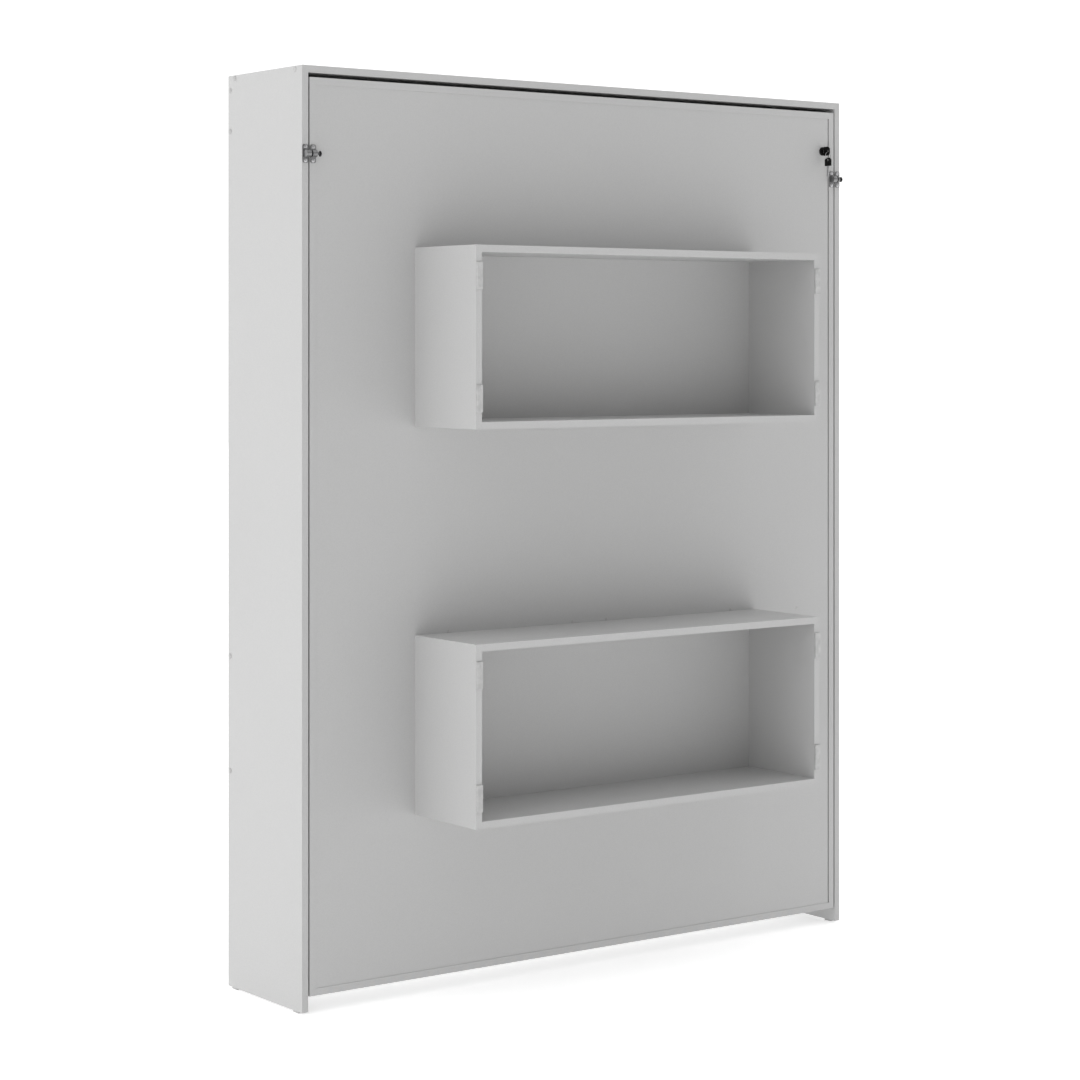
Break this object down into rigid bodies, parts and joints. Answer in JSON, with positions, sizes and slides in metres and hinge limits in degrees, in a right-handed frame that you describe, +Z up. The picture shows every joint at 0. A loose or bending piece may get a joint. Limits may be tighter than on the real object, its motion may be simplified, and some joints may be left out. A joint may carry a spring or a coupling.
{
  "type": "wall bed cabinet",
  "caption": "Shallow upright cabinet with a fold-down double bed whose front carries two open shelf boxes that become the legs when the bed is lowered.",
  "frame": {"origin": "on the floor, under the middle of the closed bed's width and overall depth, shelf boxes included", "axes": "+X to the right seen from the front, +Y back to the wall, +Z up; the bed is closed and upright"},
  "size_m": [1.615, 0.569, 2.1],
  "materials": {
    "white_board": "matt melamine board",
    "slat_wood": "satin bent wood",
    "mattress_fabric": "soft knitted cover",
    "webbing": "woven webbing",
    "steel": "satin zinc plated",
    "latch_metal": "satin nickel",
    "lock_black": "satin black",
    "black_plastic": "matt black",
    "white_plastic": "matt white",
    "grey_rubber": "matt grey",
    "strut_black": "satin black",
    "strut_chrome": "polished rod"
  },
  "bodies": {
    "cabinet": {"side_panel_left": "white_board", "side_panel_right": "white_board", "top_panel": "white_board", "back_rail_upper": "white_board", "back_rail_lower": "white_board", "cabinet_screws": "steel", "screw_caps": "white_plastic", "glide_feet": "white_plastic", "stop_blocks": "grey_rubber", "pivot_bushes": "black_plastic", "pivot_washers": "steel", "strut_studs": "steel", "latch_keeper_left": "latch_metal", "latch_body_right": "latch_metal", "latch_screws_cabinet": "latch_metal", "lock_strike": "steel"},
    "bed": {"bed_rail_left": "white_board", "bed_rail_right": "white_board", "bed_rail_head": "white_board", "bed_rail_foot": "white_board", "front_panel": "white_board", "panel_cap": "white_plastic", "panel_pins": "steel", "slat_ledgers": "slat_wood", "slat_spine": "slat_wood", "slats": "slat_wood", "mattress": "mattress_fabric", "mattress_straps": "webbing", "strap_buckles": "black_plastic", "pivot_pins": "steel", "strut_brackets": "steel", "latch_body_left": "latch_metal", "latch_keeper_right": "latch_metal", "latch_screws_bed": "latch_metal", "lock_barrel": "lock_black", "lock_case": "lock_black", "shelf_pads": "white_plastic", "shelf_caps": "white_plastic", "upper_shelf_left": "white_board", "upper_shelf_right": "white_board", "upper_shelf_top": "white_board", "upper_shelf_bottom": "white_board", "lower_shelf_left": "white_board", "lower_shelf_right": "white_board", "lower_shelf_top": "white_board", "lower_shelf_bottom": "white_board"},
    "lock_core": {"lock_plug": "lock_black", "key_head": "black_plastic", "key_blade": "steel"},
    "key_bunch": {"key_ring": "steel", "spare_key_head": "black_plastic", "spare_key_blade": "steel"},
    "deadbolt": {"lock_bolt": "steel"},
    "left_bolt": {"latch_bolt_left": "latch_metal"},
    "right_bolt": {"latch_bolt_right": "latch_metal"},
    "left_cylinder": {"strut_cylinder_left": "strut_black"},
    "left_rod": {"strut_rod_left": "strut_chrome"},
    "right_cylinder": {"strut_cylinder_right": "strut_black"},
    "right_rod": {"strut_rod_right": "strut_chrome"}
  },
  "joints": [
    {"name": "bed_fold", "type": "hinge", "parent": "cabinet", "child": "bed", "pos_m": [0, 0.0005, 0.285], "axis": [1, 0, 0], "range_deg": [0, 90], "stiffness_Nm_per_rad": 600, "springref_deg": -17.19},
    {"name": "key_turn", "type": "hinge", "parent": "bed", "child": "lock_core", "pos_m": [0.747, -0.0385, 1.974], "axis": [0, 1, 0], "range_deg": [0, 90]},
    {"name": "deadbolt_slide", "type": "slide", "parent": "bed", "child": "deadbolt", "axis": [1, 0, 0], "range_m": [0, 0.013]},
    {"name": "key_bunch_swing", "type": "hinge", "parent": "lock_core", "child": "key_bunch", "pos_m": [0.747, -0.0605, 1.974], "axis": [1, 0, 0], "range_deg": [-60, 5]},
    {"name": "left_latch_slide", "type": "slide", "parent": "bed", "child": "left_bolt", "axis": [-1, 0, 0], "range_m": [0, 0.008]},
    {"name": "right_latch_slide", "type": "slide", "parent": "cabinet", "child": "right_bolt", "axis": [-1, 0, 0], "range_m": [0, 0.007]},
    {"name": "left_strut_swing", "type": "hinge", "parent": "cabinet", "child": "left_cylinder", "pos_m": [-0.7605, 0.1255, 0.82], "axis": [1, 0, 0], "range_deg": [0, 0.7]},
    {"name": "left_strut_slide", "type": "slide", "parent": "left_cylinder", "child": "left_rod", "axis": [0, 0, 1], "range_m": [0, 0.2551]},
    {"name": "right_strut_swing", "type": "hinge", "parent": "cabinet", "child": "right_cylinder", "pos_m": [0.7605, 0.1255, 0.82], "axis": [1, 0, 0], "range_deg": [0, 0.7]},
    {"name": "right_strut_slide", "type": "slide", "parent": "right_cylinder", "child": "right_rod", "axis": [0, 0, 1], "range_m": [0, 0.2551]}
  ],
  "couplings": [
    {"joint": "deadbolt_slide", "follows": "key_turn", "m_per_rad": 0.0082761},
    {"joint": "left_strut_swing", "follows": "bed_fold", "ratio": 0.0077633},
    {"joint": "left_strut_slide", "follows": "bed_fold", "m_per_rad": 0.16232},
    {"joint": "right_strut_swing", "follows": "bed_fold", "ratio": 0.0077633},
    {"joint": "right_strut_slide", "follows": "bed_fold", "m_per_rad": 0.16232}
  ]
}
